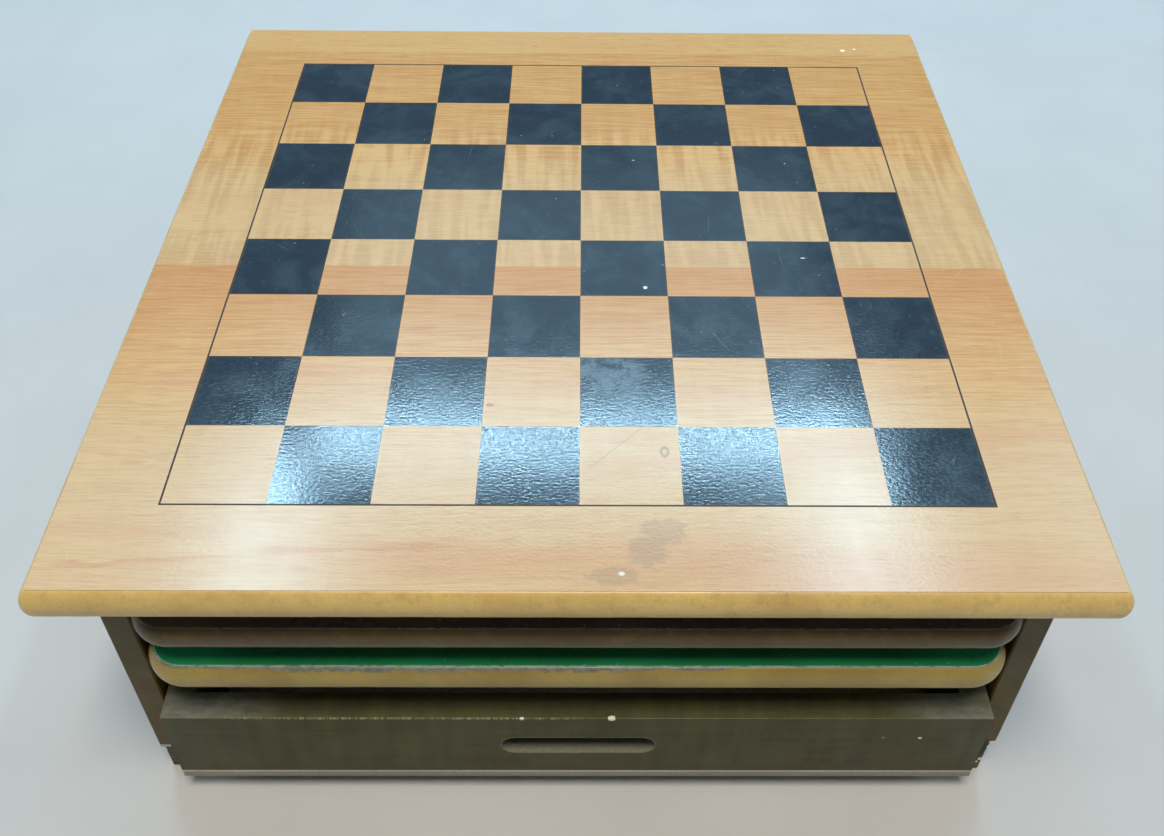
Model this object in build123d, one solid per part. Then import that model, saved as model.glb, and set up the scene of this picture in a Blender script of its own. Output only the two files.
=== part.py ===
from build123d import *
import os

# Games compendium box: a cabinet with a printed chessboard top, two slide-out game boards
# and a drawer with a slot hand-hold.
# Millimetres. The origin is on the floor under the middle of the top. +Z is up, and -Y is
# the front, where the boards and the drawer come out.

# ---- cabinet ----
cabinet_width = 350.0            # over the outer faces of the side panels
cabinet_depth = 345.0            # front edge to back edge of the side panels
panel_thickness = 10.5           # side panels
back_thickness = 10.5
base_thickness = 12.0
panel_arris = 0.6                # rounding of the panels' upright edges

# ---- top ----
side_overhang = 15.0             # top board past each side panel
front_overhang = 17.5            # top board past the panels, in front and behind
top_core_thickness = 14.7
top_bulge = 3.5                  # how far the rounded edge stands out past the flat face
top_face_corner = 0.8            # corner radius of the flat face
print_thickness = 0.3            # printed sheets, on the top and on both game boards

# ---- stack between the side panels, from the base up ----
drawer_bottom_thickness = 5.0
drawer_wall_height = 41.7
gap_over_drawer = 22.5
lower_core_thickness = 13.7
gap_over_lower_board = 14.0
upper_core_thickness = 11.7
gap_over_upper_board = 15.5

# ---- game boards ----
board_reveal = 11.5              # boards stand this far out of the cabinet
board_face_corner = 13.0         # corner radius of the flat face
lower_bulge = 3.0
upper_bulge = 2.5

# ---- running clearances ----
slide_gap = 0.3                  # under what slides, and behind it at the back panel
side_gap = 0.85                  # on each side of what slides

# ---- runners ----
runner_width = 8.0
runner_height = 8.0
runner_setback = 15.0            # from the front edge of the side panels

# ---- drawer ----
drawer_reveal = 9.5              # drawer stands this far out of the cabinet
drawer_wall = 11.5
drawer_arris = 0.5
slot_length = 62.0
slot_height = 12.0
divider_thickness = 5.0
divider_height = 32.0
front_compartment_depth = 120.0  # drawer front to cross divider, inside

# ---- fastenings ----
nail_shank = 1.8
nail_head = 3.2
nail_head_height = 0.8
nail_length = 28.0
brad_length = 15.0
bottom_nail_length = 18.0
nail_end_inset = 40.0            # first and last fastening of a row, from the ends
nails_per_row = 3
dowel_diameter = 6.0
dowel_in_panel = 15.0
dowel_in_top = 9.0

# ---- worked out from the sizes above ----
inner_width = cabinet_width - 2 * panel_thickness
sliding_width = inner_width - 2 * side_gap
front_y = -cabinet_depth / 2
back_y = cabinet_depth / 2
back_face_y = back_y - back_thickness
slider_back_y = back_face_y - slide_gap
drawer_front_y = front_y - drawer_reveal
drawer_depth = slider_back_y - drawer_front_y
board_front_y = front_y - board_reveal
board_depth = slider_back_y - board_front_y
board_middle_y = (slider_back_y + board_front_y) / 2

drawer_floor_z = base_thickness + slide_gap
drawer_wall_z = drawer_floor_z + drawer_bottom_thickness
drawer_top_z = drawer_wall_z + drawer_wall_height
lower_board_z = drawer_top_z + gap_over_drawer
lower_print_z = lower_board_z + lower_core_thickness
upper_board_z = lower_print_z + print_thickness + gap_over_lower_board
upper_print_z = upper_board_z + upper_core_thickness
top_z = upper_print_z + print_thickness + gap_over_upper_board
top_width = cabinet_width + 2 * side_overhang
top_depth = cabinet_depth + 2 * front_overhang

wall_inner_x = sliding_width / 2 - drawer_wall
drawer_inside_front_y = drawer_front_y + drawer_wall
drawer_inside_back_y = slider_back_y - drawer_wall
cross_divider_y = drawer_inside_front_y + front_compartment_depth + divider_thickness / 2


def block(low, high):
    """A square-edged block between two opposite corners."""
    size = [high[i] - low[i] for i in range(3)]
    middle = [(high[i] + low[i]) / 2 for i in range(3)]
    return Pos(*middle) * Box(*size)


def row(start, end, count):
    """Evenly spaced places from start to end."""
    if count < 2:
        return [(start + end) / 2]
    step = (end - start) / (count - 1)
    return [start + step * i for i in range(count)]


def edge_section(reach, thickness, bulge):
    """Section of a board from x = 0 out to its rounded edge, upright in the XZ plane."""
    flat = reach - bulge
    under = Line((0, 0), (flat, 0))
    edge = ThreePointArc((flat, 0), (reach, thickness / 2), (flat, thickness))
    over = Line((flat, thickness), (0, thickness))
    inside = Line((0, thickness), (0, 0))
    return Plane.XZ * make_face([under, edge, over, inside])


def rounded_board(width, depth, thickness, face_corner, bulge):
    """A board with rounded corners whose edges bulge out all round, standing on z = 0."""
    corner = face_corner + bulge
    inner_x = width / 2 - corner
    inner_y = depth / 2 - corner
    board = block((-inner_x, -inner_y, 0), (inner_x, inner_y, thickness))
    strip = edge_section(corner, thickness, bulge)
    quarter = revolve(strip, Axis.Z, 90)
    for turn in range(4):
        along = inner_y if turn % 2 == 0 else inner_x
        out = inner_x if turn % 2 == 0 else inner_y
        edge = Pos(out, 0, 0) * extrude(strip, along, both=True)
        board += Rot(0, 0, 90 * turn) * edge
    for turn in range(4):
        out_x = inner_x if turn in (0, 3) else -inner_x
        out_y = inner_y if turn in (0, 1) else -inner_y
        board += Pos(out_x, out_y, 0) * Rot(0, 0, 90 * turn) * quarter
    return board


def face_sheet(width, depth, face_corner, bulge):
    """The thin printed sheet that covers the flat face of a rounded board, on z = 0."""
    face = RectangleRounded(width - 2 * bulge, depth - 2 * bulge, face_corner)
    return extrude(face, print_thickness)


def nail(length):
    """A nail with a flat head. The head's face is at z = 0 and the nail points down -Z."""
    head = Pos(0, 0, -nail_head_height / 2) * Cylinder(nail_head / 2, nail_head_height)
    shank = Pos(0, 0, -length / 2) * Cylinder(nail_shank / 2, length)
    return head + shank


def nail_along_x(x, y, z, side, length):
    """A nail driven towards the middle from the face at x, on side +1 or -1."""
    return Pos(x, y, z) * Rot(0, 90 * side, 0) * nail(length)


# ---- fastenings, made first because the boards are drilled with them ----

def make_top_dowels():
    """Dowels that stand in the top edges of the side panels and reach into the top."""
    dowels = []
    length = dowel_in_panel + dowel_in_top
    middle_z = top_z + (dowel_in_top - dowel_in_panel) / 2
    for side in (-1, 1):
        x = side * (cabinet_width - panel_thickness) / 2
        for y in row(front_y + nail_end_inset, back_y - nail_end_inset, nails_per_row):
            dowels.append(Pos(x, y, middle_z) * Cylinder(dowel_diameter / 2, length))
    return dowels


def make_carcass_nails():
    """Nails through the side panels into the base board and the back panel."""
    nails = []
    for side in (-1, 1):
        x = side * cabinet_width / 2
        for y in row(front_y + nail_end_inset, back_face_y - nail_end_inset, nails_per_row):
            nails.append(nail_along_x(x, y, base_thickness / 2, side, nail_length))
        for z in row(nail_end_inset, top_z - nail_end_inset, nails_per_row):
            nails.append(nail_along_x(x, back_y - back_thickness / 2, z, side, nail_length))
    return nails


def make_runner_brads():
    """Brads through the four runners into the side panels."""
    brads = []
    first_y = front_y + runner_setback + nail_end_inset
    for board_z in (lower_board_z, upper_board_z):
        z = board_z - slide_gap - runner_height / 2
        for side in (-1, 1):
            x = side * (inner_width / 2 - runner_width)
            for y in row(first_y, back_face_y - nail_end_inset, nails_per_row):
                brads.append(nail_along_x(x, y, z, -side, brad_length))
    return brads


def make_drawer_back_nails():
    """Nails through the drawer sides into the ends of the drawer back."""
    nails = []
    y = slider_back_y - drawer_wall / 2
    for side in (-1, 1):
        x = side * sliding_width / 2
        for part_of_height in (1, 3):
            z = drawer_wall_z + drawer_wall_height * part_of_height / 4
            nails.append(nail_along_x(x, y, z, side, nail_length))
    return nails


def make_drawer_bottom_nails():
    """Nails up through the drawer bottom into the four walls."""
    nails = []
    up = Rot(180, 0, 0) * nail(bottom_nail_length)
    side_x = sliding_width / 2 - drawer_wall / 2
    front_wall_y = drawer_front_y + drawer_wall / 2
    back_wall_y = slider_back_y - drawer_wall / 2
    for y in row(drawer_front_y + nail_end_inset, slider_back_y - nail_end_inset, nails_per_row):
        for side in (-1, 1):
            nails.append(Pos(side * side_x, y, drawer_floor_z) * up)
    for x in row(nail_end_inset - sliding_width / 2, sliding_width / 2 - nail_end_inset, nails_per_row):
        for y in (front_wall_y, back_wall_y):
            nails.append(Pos(x, y, drawer_floor_z) * up)
    return nails


# ---- cabinet ----

def make_top_board(dowels):
    """The thick top with its rounded edges, drilled from below for the dowels."""
    board = rounded_board(top_width, top_depth, top_core_thickness, top_face_corner, top_bulge)
    return Pos(0, 0, top_z) * board - dowels


def make_top_print():
    """The printed sheet on the top."""
    sheet = face_sheet(top_width, top_depth, top_face_corner, top_bulge)
    return Pos(0, 0, top_z + top_core_thickness) * sheet


def make_side_panel(side, fastenings):
    """One side panel, on side +1 (right) or -1 (left)."""
    outer = cabinet_width / 2
    panel = block((outer - panel_thickness, front_y, 0), (outer, back_y, top_z))
    panel = fillet(panel.edges().filter_by(Axis.Z), panel_arris)
    if side < 0:
        panel = mirror(panel, Plane.YZ)
    return panel - fastenings


def make_back_panel(fastenings):
    """The back panel, set between the side panels."""
    half = inner_width / 2
    return block((-half, back_face_y, 0), (half, back_y, top_z)) - fastenings


def make_base_board(fastenings):
    """The base board that the drawer slides on."""
    half = inner_width / 2
    return block((-half, front_y, 0), (half, back_face_y, base_thickness)) - fastenings


def make_runner(side, board_z, brads):
    """The strip under one side of a game board that lies at board_z."""
    top = board_z - slide_gap
    near = side * inner_width / 2
    far = side * (inner_width / 2 - runner_width)
    low = (min(near, far), front_y + runner_setback, top - runner_height)
    high = (max(near, far), back_face_y, top)
    return block(low, high) - brads


# ---- slide-out game boards ----

def make_game_board(core_thickness, bulge, z):
    """The core of a game board, with its underside at z."""
    board = rounded_board(sliding_width, board_depth, core_thickness, board_face_corner, bulge)
    return Pos(0, board_middle_y, z) * board


def make_game_print(bulge, z):
    """The printed sheet on a game board."""
    sheet = face_sheet(sliding_width, board_depth, board_face_corner, bulge)
    return Pos(0, board_middle_y, z) * sheet


# ---- drawer ----

def drawer_wall_bar(length):
    """A drawer wall along X with its outer face on y = 0, its inner face behind it."""
    bar = block((-length / 2, 0, 0), (length / 2, drawer_wall, drawer_wall_height))
    top_edges = bar.edges().filter_by(Axis.X).group_by(Axis.Z)[-1]
    return fillet(top_edges, drawer_arris)


def mitre_cutter(side):
    """What lies beyond the 45 degree joint at the end of a wall, with the corner at 0, 0."""
    reach = 2 * drawer_wall
    corners = [(0, 0), (-side * reach, reach), (side * reach, reach), (side * reach, 0)]
    return Pos(0, 0, -1) * extrude(make_face(Polyline(*corners, close=True)), drawer_wall_height + 2)


def make_drawer_front(nails):
    """The drawer front, mitred to the sides, with the slot hand-hold right through it."""
    front = drawer_wall_bar(sliding_width)
    for side in (-1, 1):
        front -= Pos(side * sliding_width / 2, 0, 0) * mitre_cutter(side)
    slot = extrude(Plane.XZ * SlotOverall(slot_length, slot_height), 2 * drawer_wall, both=True)
    front -= Pos(0, 0, drawer_wall_height / 2) * slot
    return Pos(0, drawer_front_y, drawer_wall_z) * front - nails


def make_drawer_side(side, nails):
    """A drawer side, on side +1 or -1, mitred in front and square at the back."""
    bar = Pos(drawer_depth / 2, 0, 0) * drawer_wall_bar(drawer_depth)
    bar -= mitre_cutter(-1)
    wall = Rot(0, 0, 90) * bar
    if side < 0:
        wall = mirror(wall, Plane.YZ)
    return Pos(side * sliding_width / 2, drawer_front_y, drawer_wall_z) * wall - nails


def make_drawer_back(nails):
    """The drawer back, set between the sides."""
    back = Pos(0, drawer_wall, 0) * Rot(0, 0, 180) * drawer_wall_bar(2 * wall_inner_x)
    return Pos(0, drawer_inside_back_y, drawer_wall_z) * back - nails


def make_drawer_bottom(nails):
    """The thin board under the four walls. Its edge shows below the drawer front."""
    half = sliding_width / 2
    low = (-half, drawer_front_y, drawer_floor_z)
    high = (half, slider_back_y, drawer_wall_z)
    return block(low, high) - nails


def make_divider_cross():
    """The divider from side to side. The space in front of it is left whole for fingers
    that reach through the slot."""
    half = divider_thickness / 2
    low = (-wall_inner_x, cross_divider_y - half, drawer_wall_z)
    high = (wall_inner_x, cross_divider_y + half, drawer_wall_z + divider_height)
    return block(low, high)


def make_divider_long():
    """The divider from the cross divider to the drawer back."""
    half = divider_thickness / 2
    low = (-half, cross_divider_y + half, drawer_wall_z)
    high = (half, drawer_inside_back_y, drawer_wall_z + divider_height)
    return block(low, high)


# ---- every node ----

def make_nodes():
    """All sub-parts by name."""
    dowels = make_top_dowels()
    carcass_nails = make_carcass_nails()
    brads = make_runner_brads()
    back_nails = make_drawer_back_nails()
    bottom_nails = make_drawer_bottom_nails()
    drawer_nails = back_nails + bottom_nails
    panel_fastenings = dowels + carcass_nails + brads
    nodes = {
        "top_board": make_top_board(dowels),
        "top_print": make_top_print(),
        "side_panel_left": make_side_panel(-1, panel_fastenings),
        "side_panel_right": make_side_panel(1, panel_fastenings),
        "back_panel": make_back_panel(carcass_nails),
        "base_board": make_base_board(carcass_nails),
        "top_dowels": Compound(children=dowels),
        "carcass_nails": Compound(children=carcass_nails),
        "runner_brads": Compound(children=brads),
        "upper_board": make_game_board(upper_core_thickness, upper_bulge, upper_board_z),
        "upper_board_print": make_game_print(upper_bulge, upper_print_z),
        "lower_board": make_game_board(lower_core_thickness, lower_bulge, lower_board_z),
        "lower_board_print": make_game_print(lower_bulge, lower_print_z),
        "drawer_front": make_drawer_front(bottom_nails),
        "drawer_side_left": make_drawer_side(-1, drawer_nails),
        "drawer_side_right": make_drawer_side(1, drawer_nails),
        "drawer_back": make_drawer_back(drawer_nails),
        "drawer_bottom": make_drawer_bottom(bottom_nails),
        "drawer_divider_long": make_divider_long(),
        "drawer_divider_cross": make_divider_cross(),
        "drawer_back_nails": Compound(children=back_nails),
        "drawer_bottom_nails": Compound(children=bottom_nails),
    }
    for level, board_z in (("lower", lower_board_z), ("upper", upper_board_z)):
        for side_name, side in (("left", -1), ("right", 1)):
            nodes["runner_" + level + "_" + side_name] = make_runner(side, board_z, brads)
    return nodes


os.makedirs("parts", exist_ok=True)
for node_name, shape in make_nodes().items():
    export_step(shape, "parts/" + node_name + ".step")
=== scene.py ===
import logging
import math
from dataclasses import dataclass
from enum import Enum
from typing import Any, Dict, List, Optional, Sequence, Tuple, Union

import bmesh
import bpy
from mathutils import Matrix, Vector, noise


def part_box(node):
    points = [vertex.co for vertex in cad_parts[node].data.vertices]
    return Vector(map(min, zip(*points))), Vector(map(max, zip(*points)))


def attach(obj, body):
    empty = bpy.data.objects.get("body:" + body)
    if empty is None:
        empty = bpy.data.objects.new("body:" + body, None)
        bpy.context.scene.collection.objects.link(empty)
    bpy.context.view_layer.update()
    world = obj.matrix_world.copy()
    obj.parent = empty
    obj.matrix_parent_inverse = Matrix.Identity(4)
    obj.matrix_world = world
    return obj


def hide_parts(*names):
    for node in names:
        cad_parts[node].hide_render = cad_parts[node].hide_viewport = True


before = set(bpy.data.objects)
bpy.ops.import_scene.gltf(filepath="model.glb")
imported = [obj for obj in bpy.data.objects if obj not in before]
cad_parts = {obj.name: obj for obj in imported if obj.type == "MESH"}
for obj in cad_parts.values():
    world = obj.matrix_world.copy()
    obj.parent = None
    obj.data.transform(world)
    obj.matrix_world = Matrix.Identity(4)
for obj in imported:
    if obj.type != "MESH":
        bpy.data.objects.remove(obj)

Socket = bpy.types.NodeSocket
Material = bpy.types.Material
Number = Union[float, "Value"]
Pair = Tuple[float, float]
Colour = Tuple[float, float, float]
Point = Tuple[float, float, float]

log = logging.getLogger("games_box")

MM = 0.001
# Vertices of a board this close together, in metres, become one.
WELD = 0.000002
# Corner radius of the flat faces of the slide-out boards, in millimetres.
BOARD_CORNER = 13.0


def box_of(node: str) -> Tuple[Vector, Vector]:
    """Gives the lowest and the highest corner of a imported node, in metres."""
    low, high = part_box(node)
    return Vector(low), Vector(high)


def box_mm(node: str) -> Tuple[Point, ...]:
    """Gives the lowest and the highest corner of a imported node, in millimetres."""
    return tuple(tuple(number / MM for number in corner) for corner in box_of(node))


# ---------------------------------------------------------------------------
# Node trees
# ---------------------------------------------------------------------------


class Value:
    """A number, vector, colour or geometry in a node tree. Its arithmetic adds nodes to the tree."""

    def __init__(self, tree: "Tree", socket: Socket) -> None:
        """Wraps an output of a tree."""
        self.tree, self.socket = tree, socket

    def __add__(self, other: Number) -> "Value":
        """This number and another."""
        return self.tree.math("ADD", self, other)

    def __radd__(self, other: float) -> "Value":
        """A constant and this number."""
        return self.tree.math("ADD", other, self)

    def __sub__(self, other: Number) -> "Value":
        """This number less another."""
        return self.tree.math("SUBTRACT", self, other)

    def __rsub__(self, other: float) -> "Value":
        """A constant less this number."""
        return self.tree.math("SUBTRACT", other, self)

    def __mul__(self, other: Number) -> "Value":
        """This number times another."""
        return self.tree.math("MULTIPLY", self, other)

    def __truediv__(self, other: Number) -> "Value":
        """This number divided by another."""
        return self.tree.math("DIVIDE", self, other)

    def __lt__(self, other: Number) -> "Value":
        """1 where this number is the smaller one."""
        return self.tree.math("LESS_THAN", self, other)

    def __gt__(self, other: Number) -> "Value":
        """1 where this number is the larger one."""
        return self.tree.math("GREATER_THAN", self, other)

    def __abs__(self) -> "Value":
        """This number without its sign."""
        return self.tree.math("ABSOLUTE", self)

    def ramp(self, low: float, high: float, bottom: float = 0.0, top: float = 1.0) -> "Value":
        """A smooth step from bottom to top as this number goes from low to high.

        Args:
            low: Where the step starts.
            high: Where it ends, below low for a falling step.
            bottom: Result at low.
            top: Result at high.

        Returns:
            The stepped number.
        """
        if low > high:
            low, high, bottom, top = high, low, top, bottom
        return self.tree.value("ShaderNodeMapRange", self, low, high, bottom, top, interpolation_type="SMOOTHSTEP")


class Tree:
    """A node tree being built."""

    def __init__(self, tree: bpy.types.NodeTree) -> None:
        """Starts from a tree of Blender."""
        self.tree = tree

    def feed(self, socket: Socket, value: Any) -> None:
        """Links an input to a value of the tree, or sets its constant.

        Args:
            socket: The input.
            value: What it gets.
        """
        if isinstance(value, Value):
            self.tree.links.new(value.socket, socket)
        else:
            socket.default_value = (*value, 1.0) if socket.type == "RGBA" else value

    def node(self, kind: str, *first: Any, **named: Any) -> bpy.types.Node:
        """Adds a node.

        Args:
            kind: Blender's name of the node type.
            first: Its first inputs, in their order.
            named: Properties of the node by their names, in lower case, and inputs by theirs, which start
                with a capital and have _ for a space.

        Returns:
            The node.
        """
        node = self.tree.nodes.new(kind)
        for name, value in named.items():
            if name[0].islower():
                setattr(node, name, value)
        for socket, value in zip(node.inputs, first):
            self.feed(socket, value)
        for name, value in named.items():
            if name[0].isupper():
                self.feed(next(i for i in node.inputs if i.enabled and i.name == name.replace("_", " ")), value)
        return node

    def value(self, kind: str, *first: Any, **named: Any) -> Value:
        """Adds a node, as node does, and gives the first of its outputs that is in use."""
        node = self.node(kind, *first, **named)
        return Value(self, next(output for output in node.outputs if output.enabled))

    def math(self, operation: str, *numbers: Number) -> Value:
        """Adds a Math node and gives its result."""
        return self.value("ShaderNodeMath", *numbers, operation=operation)

    def most(self, first: Number, second: Number) -> Value:
        """The larger of two numbers."""
        return self.math("MAXIMUM", first, second)

    def least(self, first: Number, second: Number) -> Value:
        """The smaller of two numbers."""
        return self.math("MINIMUM", first, second)

    def hypot(self, first: Value, second: Value) -> Value:
        """How far away a place is that lies this far out in two directions."""
        return self.math("SQRT", first * first + second * second)

    def point(self, x: Number, y: Number, z: Number = 0.0) -> Value:
        """A vector from three numbers."""
        return self.value("ShaderNodeCombineXYZ", x, y, z)

    def split(self, vector: Value) -> List[Value]:
        """The three numbers of a vector."""
        return [Value(self, output) for output in self.node("ShaderNodeSeparateXYZ", vector).outputs]


class Shader(Tree):
    """A node material being built. Places are in millimetres in the box's own frame."""

    def __init__(self, name: str) -> None:
        """Starts an empty material.

        Args:
            name: Name of the material.
        """
        self.material = bpy.data.materials.new(name)
        self.material.use_nodes = True
        super().__init__(self.material.node_tree)
        self.tree.nodes.clear()
        place = self.node("ShaderNodeTexCoord").outputs["Object"]
        self.place = self.shade(Value(self, place), 1 / MM)
        self.x, self.y, self.z = self.split(self.place)

    def up(self) -> Value:
        """How far the surface faces up, from -1 to 1."""
        return self.split(Value(self, self.node("ShaderNodeTexCoord").outputs["Normal"]))[2]

    def mix(self, factor: Number, first: Any, second: Any) -> Value:
        """Blends two colours, the second as far as the factor says."""
        return self.value("ShaderNodeMix", data_type="RGBA", Factor=factor, A=first, B=second)

    def shade(self, colour: Any, amount: Number) -> Value:
        """Multiplies a colour by a number."""
        return self.value("ShaderNodeVectorMath", colour, operation="SCALE", Scale=amount)

    def away_from(self, centre: Point) -> Value:
        """Distance from a place, in millimetres."""
        return self.value("ShaderNodeVectorMath", self.place, centre, operation="DISTANCE")

    def oval(self, x: Number, y: Number, centre: Pair, reach: Pair) -> Value:
        """Distance from the centre of an oval, 1 at its rim, from half its width and height."""
        return self.hypot((x - centre[0]) / reach[0], (y - centre[1]) / reach[1])

    def clouds(self, vector: Value, scale: float, detail: float = 2.0, rough: float = 0.5, bend: float = 0.0) -> Value:
        """Noise from 0 to 1.

        Args:
            vector: Where the noise is read.
            scale: Cells per unit of the vector.
            detail: Octaves.
            rough: Weight of the finer octaves.
            bend: Distortion.

        Returns:
            The noise.
        """
        return self.value(
            "ShaderNodeTexNoise", Vector=vector, Scale=scale, Detail=detail, Roughness=rough, Distortion=bend
        )

    def grain(self, x: Number, y: Number, z: Number = 0.0, *octaves: float) -> Value:
        """Noise from 0 to 1 at a place whose numbers are already scaled, with octaves as in clouds."""
        return self.clouds(self.point(x, y, z), 1.0, *octaves)

    def cells(self, vector: Value, scale: float) -> Tuple[Value, List[Value], List[Value]]:
        """Random cells on a flat pattern.

        Args:
            vector: Where the pattern is read.
            scale: Cells per unit.

        Returns:
            Distance to the cell's middle in cells, the way from it, and three random numbers of the cell.
        """
        node = self.node("ShaderNodeTexVoronoi", voronoi_dimensions="2D", Vector=vector, Scale=scale)
        distance, colour, middle = (Value(self, node.outputs[name]) for name in ("Distance", "Color", "Position"))
        away = self.value("ShaderNodeVectorMath", vector, middle, operation="SUBTRACT")
        picks = self.node("ShaderNodeSeparateColor", colour).outputs[:3]
        return distance, self.split(away), [Value(self, pick) for pick in picks]

    def specks(self, vector: Value, scale: float, radius: float, share: float) -> Value:
        """Scattered round specks, 1 in a speck: radius of the largest in cells, share of the cells with one."""
        distance, _, (pick, small, _) = self.cells(vector, scale)
        return (pick < share) * (distance < (small + 0.3) * radius)

    def strokes(self, vector: Value, scale: float, length: float, width: float, share: float) -> Value:
        """Short straight scratches, each in a direction of its own.

        Args:
            vector: Where the pattern is read.
            scale: Cells per unit.
            length: Half the length of the longest, in the vector's units.
            width: Half the width.
            share: Share of the cells that hold one.

        Returns:
            Up to 1 in a scratch, 0 outside.
        """
        _, (away_x, away_y, _), (pick, turn, long) = self.cells(vector, scale)
        angle = turn * math.pi
        cosine, sine = self.math("COSINE", angle), self.math("SINE", angle)
        reach = abs(away_x * cosine + away_y * sine) / ((long * 0.7 + 0.3) * length)
        thin = abs(away_y * cosine - away_x * sine) / width
        return (pick < share) * (reach * reach + thin * thin).ramp(1.0, 0.2)

    def relief(self, height: Value, depth_mm: float, **below: Value) -> Value:
        """A bump whose height from 0 to 1 stands for a depth, on a coarser bump if Normal names one."""
        return self.value("ShaderNodeBump", Strength=1.0, Distance=depth_mm * MM, Height=height, **below)

    def finish(self, colour: Any, roughness: Number, **inputs: Any) -> Material:
        """Closes the material with one shader.

        Args:
            colour: Base colour.
            roughness: Roughness of the surface.
            inputs: Further inputs of the shader by name, with _ for a space.

        Returns:
            The finished material.
        """
        shader = self.value("ShaderNodeBsdfPrincipled", Base_Color=colour, Roughness=roughness, **inputs)
        self.node("ShaderNodeOutputMaterial", Surface=shader)
        return self.material


class GeometryTree(Tree):
    """A geometry node tree with named inputs that is evaluated into a plain mesh."""

    def __init__(self, name: str) -> None:
        """Starts an empty tree.

        Args:
            name: Name of the tree.
        """
        super().__init__(bpy.data.node_groups.new(name, "GeometryNodeTree"))
        self.tree.interface.new_socket("Geometry", in_out="OUTPUT", socket_type="NodeSocketGeometry")
        self.sockets: Dict[str, str] = {}
        self.source = self.tree.nodes.new("NodeGroupInput")
        self.target = self.tree.nodes.new("NodeGroupOutput")

    def inputs(self, kind: str, *names: str) -> List[Value]:
        """Adds named inputs of one kind.

        Args:
            kind: Float, Int, Vector or Material.
            names: Names of the inputs.

        Returns:
            Their values inside the tree.
        """
        for name in names:
            item = self.tree.interface.new_socket(name, in_out="INPUT", socket_type="NodeSocket" + kind)
            self.sockets[name] = item.identifier
        given = {socket.identifier: socket for socket in self.source.outputs}
        return [Value(self, given[self.sockets[name]]) for name in names]

    def join(self, *parts: Value) -> Value:
        """Joins pieces of geometry.

        Args:
            parts: The pieces.

        Returns:
            All of them.
        """
        joined = self.node("GeometryNodeJoinGeometry")
        for part in parts:
            self.feed(joined.inputs[0], part)
        return Value(self, joined.outputs[0])

    def close(self, geometry: Value, material: Value, smooth: bool = True) -> None:
        """Ends the tree with real, shaded and dressed faces.

        Args:
            geometry: What the tree has made.
            material: Material for every face.
            smooth: Whether faces are shaded smooth.
        """
        real = self.value("GeometryNodeRealizeInstances", Geometry=geometry)
        shaded = self.value("GeometryNodeSetShadeSmooth", Geometry=real, Shade_Smooth=smooth)
        dressed = self.value("GeometryNodeSetMaterial", Geometry=shaded, Material=material)
        self.feed(self.target.inputs[0], dressed)

    def make(self, values: Dict[str, Any]) -> bpy.types.Mesh:
        """Evaluates the tree.

        Args:
            values: Input values by name.

        Returns:
            A plain mesh.
        """
        holder = bpy.data.objects.new("holder", bpy.data.meshes.new("holder"))
        bpy.context.scene.collection.objects.link(holder)
        modifier = holder.modifiers.new("tree", "NODES")
        modifier.node_group = self.tree
        for name, value in values.items():
            modifier[self.sockets[name]] = value
        shown = holder.evaluated_get(bpy.context.evaluated_depsgraph_get())
        mesh = bpy.data.meshes.new_from_object(shown)
        holder.modifiers.remove(modifier)
        bpy.data.objects.remove(holder)
        return mesh


class BoardTree(GeometryTree):
    """A flat board: an arc swept round a rounded outline, with a face above and below."""

    def __init__(self) -> None:
        """Builds the tree. Its inputs are the board's sizes, step counts, place and material."""
        super().__init__("rounded_board")
        width, depth, thickness, corner, bulge = self.inputs(
            "Float", "Width", "Depth", "Thickness", "Corner", "Bulge"
        )
        corner_steps, edge_steps = self.inputs("Int", "Corner Steps", "Edge Steps")
        (place,) = self.inputs("Vector", "Place")
        (material,) = self.inputs("Material", "Material")
        twice = bulge * 2.0
        outline = self.value("GeometryNodeCurvePrimitiveQuadrilateral", Width=width - twice, Height=depth - twice)
        rounded = self.value(
            "GeometryNodeFilletCurve", mode="POLY", Curve=outline, Count=corner_steps, Radius=corner - bulge
        )
        steady = self.value("GeometryNodeSetCurveNormal", mode="Z_UP", Curve=rounded)
        arc = self.value(
            "GeometryNodeCurveArc",
            mode="POINTS",
            Resolution=edge_steps,
            Start=(0.0, 0.0, 0.0),
            Middle=self.point(bulge, thickness * 0.5),
            End=self.point(0.0, thickness),
        )
        rim = self.value("GeometryNodeCurveToMesh", Curve=steady, Profile_Curve=arc)
        face = self.value("GeometryNodeFillCurve", Curve=rounded)
        down = self.point(0.0, 0.0, thickness * -1.0)
        lower = self.value("GeometryNodeTransform", Geometry=face, Translation=down)
        lower = self.value("GeometryNodeFlipFaces", Mesh=lower)
        whole = self.join(rim, face, lower)
        whole = self.value("GeometryNodeMergeByDistance", Geometry=whole, Distance=WELD)
        self.close(self.value("GeometryNodeTransform", Geometry=whole, Translation=place), material)


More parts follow.
